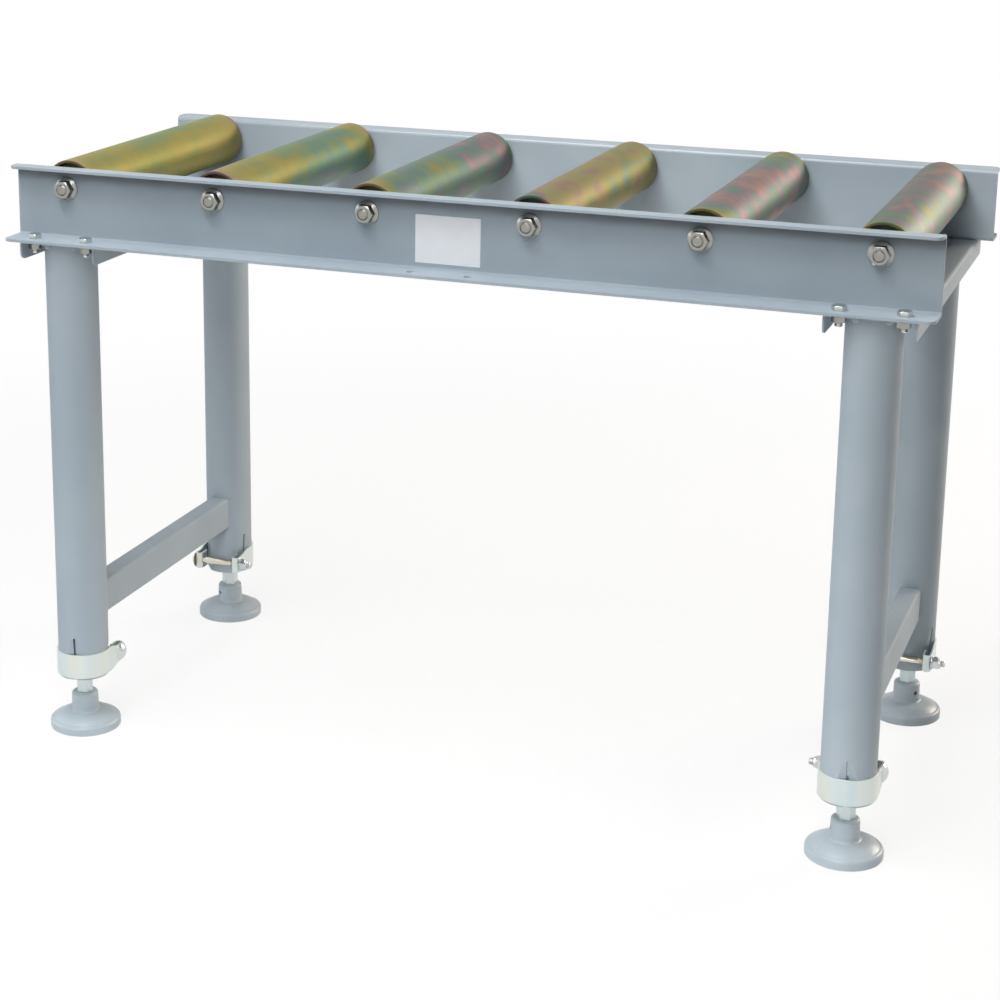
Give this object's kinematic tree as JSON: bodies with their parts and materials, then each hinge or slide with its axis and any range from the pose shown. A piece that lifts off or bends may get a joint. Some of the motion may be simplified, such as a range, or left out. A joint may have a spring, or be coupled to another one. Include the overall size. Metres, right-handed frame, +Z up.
{
  "type": "roller table",
  "caption": "Roller table: free-turning steel rollers on axles between channel rails, on clamped telescoping legs with screw levelling feet.",
  "frame": {"origin": "on the floor under the middle of the table", "axes": "+X along the table, +Y across it towards the rear rail, +Z up"},
  "size_m": [1, 0.464, 0.6552],
  "materials": {
    "grey_paint": "satin powder coat",
    "inner_leg_steel": "blue passivated zinc",
    "foot_paint": "glossy paint",
    "yellow_zinc": "yellow passivated zinc",
    "bright_zinc": "blue passivated zinc",
    "axle_steel": "plain steel",
    "bearing_steel": "ground steel"
  },
  "bodies": {
    "frame": {"front_rail": "grey_paint", "rear_rail": "grey_paint", "leg_tube_front_left": "grey_paint", "leg_tube_front_right": "grey_paint", "leg_tube_rear_left": "grey_paint", "leg_tube_rear_right": "grey_paint", "top_channel_left": "grey_paint", "top_channel_right": "grey_paint", "cross_brace_left": "grey_paint", "cross_brace_right": "grey_paint", "clamp_collar_front_left": "bright_zinc", "clamp_collar_front_right": "bright_zinc", "clamp_collar_rear_left": "bright_zinc", "clamp_collar_rear_right": "bright_zinc", "clamp_bolts": "bright_zinc", "clamp_nuts": "bright_zinc", "roller_axles": "axle_steel", "axle_nuts": "axle_steel", "axle_spacers": "axle_steel", "rail_bolts": "bright_zinc", "rail_nuts": "bright_zinc", "bearing_inner_rings": "bearing_steel"},
    "roller_1": {"roller_1_tube": "yellow_zinc", "roller_1_end_cups": "yellow_zinc", "roller_1_bearings": "bearing_steel"},
    "roller_2": {"roller_2_tube": "yellow_zinc", "roller_2_end_cups": "yellow_zinc", "roller_2_bearings": "bearing_steel"},
    "roller_3": {"roller_3_tube": "yellow_zinc", "roller_3_end_cups": "yellow_zinc", "roller_3_bearings": "bearing_steel"},
    "roller_4": {"roller_4_tube": "yellow_zinc", "roller_4_end_cups": "yellow_zinc", "roller_4_bearings": "bearing_steel"},
    "roller_5": {"roller_5_tube": "yellow_zinc", "roller_5_end_cups": "yellow_zinc", "roller_5_bearings": "bearing_steel"},
    "roller_6": {"roller_6_tube": "yellow_zinc", "roller_6_end_cups": "yellow_zinc", "roller_6_bearings": "bearing_steel"},
    "inner_leg_front_left": {"inner_tube_front_left": "inner_leg_steel", "end_plate_front_left": "inner_leg_steel"},
    "levelling_foot_front_left": {"foot_front_left": "foot_paint", "foot_pin_front_left": "bearing_steel"},
    "levelling_spindle_front_left": {"spindle_front_left": "bright_zinc"},
    "inner_leg_front_right": {"inner_tube_front_right": "inner_leg_steel", "end_plate_front_right": "inner_leg_steel"},
    "levelling_foot_front_right": {"foot_front_right": "foot_paint", "foot_pin_front_right": "bearing_steel"},
    "levelling_spindle_front_right": {"spindle_front_right": "bright_zinc"},
    "inner_leg_rear_left": {"inner_tube_rear_left": "inner_leg_steel", "end_plate_rear_left": "inner_leg_steel"},
    "levelling_foot_rear_left": {"foot_rear_left": "foot_paint", "foot_pin_rear_left": "bearing_steel"},
    "levelling_spindle_rear_left": {"spindle_rear_left": "bright_zinc"},
    "inner_leg_rear_right": {"inner_tube_rear_right": "inner_leg_steel", "end_plate_rear_right": "inner_leg_steel"},
    "levelling_foot_rear_right": {"foot_rear_right": "foot_paint", "foot_pin_rear_right": "bearing_steel"},
    "levelling_spindle_rear_right": {"spindle_rear_right": "bright_zinc"}
  },
  "joints": [
    {"name": "roller_1_spin", "type": "hinge", "parent": "frame", "child": "roller_1", "pos_m": [-0.44, 0, 0.6252], "axis": [0, 1, 0], "continuous": true},
    {"name": "roller_2_spin", "type": "hinge", "parent": "frame", "child": "roller_2", "pos_m": [-0.264, 0, 0.6252], "axis": [0, 1, 0], "continuous": true},
    {"name": "roller_3_spin", "type": "hinge", "parent": "frame", "child": "roller_3", "pos_m": [-0.088, 0, 0.6252], "axis": [0, 1, 0], "continuous": true},
    {"name": "roller_4_spin", "type": "hinge", "parent": "frame", "child": "roller_4", "pos_m": [0.088, 0, 0.6252], "axis": [0, 1, 0], "continuous": true},
    {"name": "roller_5_spin", "type": "hinge", "parent": "frame", "child": "roller_5", "pos_m": [0.264, 0, 0.6252], "axis": [0, 1, 0], "continuous": true},
    {"name": "roller_6_spin", "type": "hinge", "parent": "frame", "child": "roller_6", "pos_m": [0.44, 0, 0.6252], "axis": [0, 1, 0], "continuous": true},
    {"name": "leg_front_left_extend", "type": "slide", "parent": "frame", "child": "inner_leg_front_left", "axis": [0, 0, -1], "range_m": [0, 0.3]},
    {"name": "foot_front_left_level", "type": "slide", "parent": "inner_leg_front_left", "child": "levelling_foot_front_left", "axis": [0, 0, -1], "range_m": [0, 0.04]},
    {"name": "spindle_front_left_turn", "type": "hinge", "parent": "levelling_foot_front_left", "child": "levelling_spindle_front_left", "pos_m": [-0.438, -0.192, 0.05], "axis": [0, 0, -1], "range_deg": [0, 7200]},
    {"name": "leg_front_right_extend", "type": "slide", "parent": "frame", "child": "inner_leg_front_right", "axis": [0, 0, -1], "range_m": [0, 0.3]},
    {"name": "foot_front_right_level", "type": "slide", "parent": "inner_leg_front_right", "child": "levelling_foot_front_right", "axis": [0, 0, -1], "range_m": [0, 0.04]},
    {"name": "spindle_front_right_turn", "type": "hinge", "parent": "levelling_foot_front_right", "child": "levelling_spindle_front_right", "pos_m": [0.438, -0.192, 0.05], "axis": [0, 0, -1], "range_deg": [0, 7200]},
    {"name": "leg_rear_left_extend", "type": "slide", "parent": "frame", "child": "inner_leg_rear_left", "axis": [0, 0, -1], "range_m": [0, 0.3]},
    {"name": "foot_rear_left_level", "type": "slide", "parent": "inner_leg_rear_left", "child": "levelling_foot_rear_left", "axis": [0, 0, -1], "range_m": [0, 0.04]},
    {"name": "spindle_rear_left_turn", "type": "hinge", "parent": "levelling_foot_rear_left", "child": "levelling_spindle_rear_left", "pos_m": [-0.438, 0.192, 0.05], "axis": [0, 0, -1], "range_deg": [0, 7200]},
    {"name": "leg_rear_right_extend", "type": "slide", "parent": "frame", "child": "inner_leg_rear_right", "axis": [0, 0, -1], "range_m": [0, 0.3]},
    {"name": "foot_rear_right_level", "type": "slide", "parent": "inner_leg_rear_right", "child": "levelling_foot_rear_right", "axis": [0, 0, -1], "range_m": [0, 0.04]},
    {"name": "spindle_rear_right_turn", "type": "hinge", "parent": "levelling_foot_rear_right", "child": "levelling_spindle_rear_right", "pos_m": [0.438, 0.192, 0.05], "axis": [0, 0, -1], "range_deg": [0, 7200]}
  ],
  "couplings": [
    {"joint": "foot_front_left_level", "follows": "spindle_front_left_turn", "m_per_rad": 0.00031831},
    {"joint": "foot_front_right_level", "follows": "spindle_front_right_turn", "m_per_rad": 0.00031831},
    {"joint": "foot_rear_left_level", "follows": "spindle_rear_left_turn", "m_per_rad": 0.00031831},
    {"joint": "foot_rear_right_level", "follows": "spindle_rear_right_turn", "m_per_rad": 0.00031831}
  ]
}
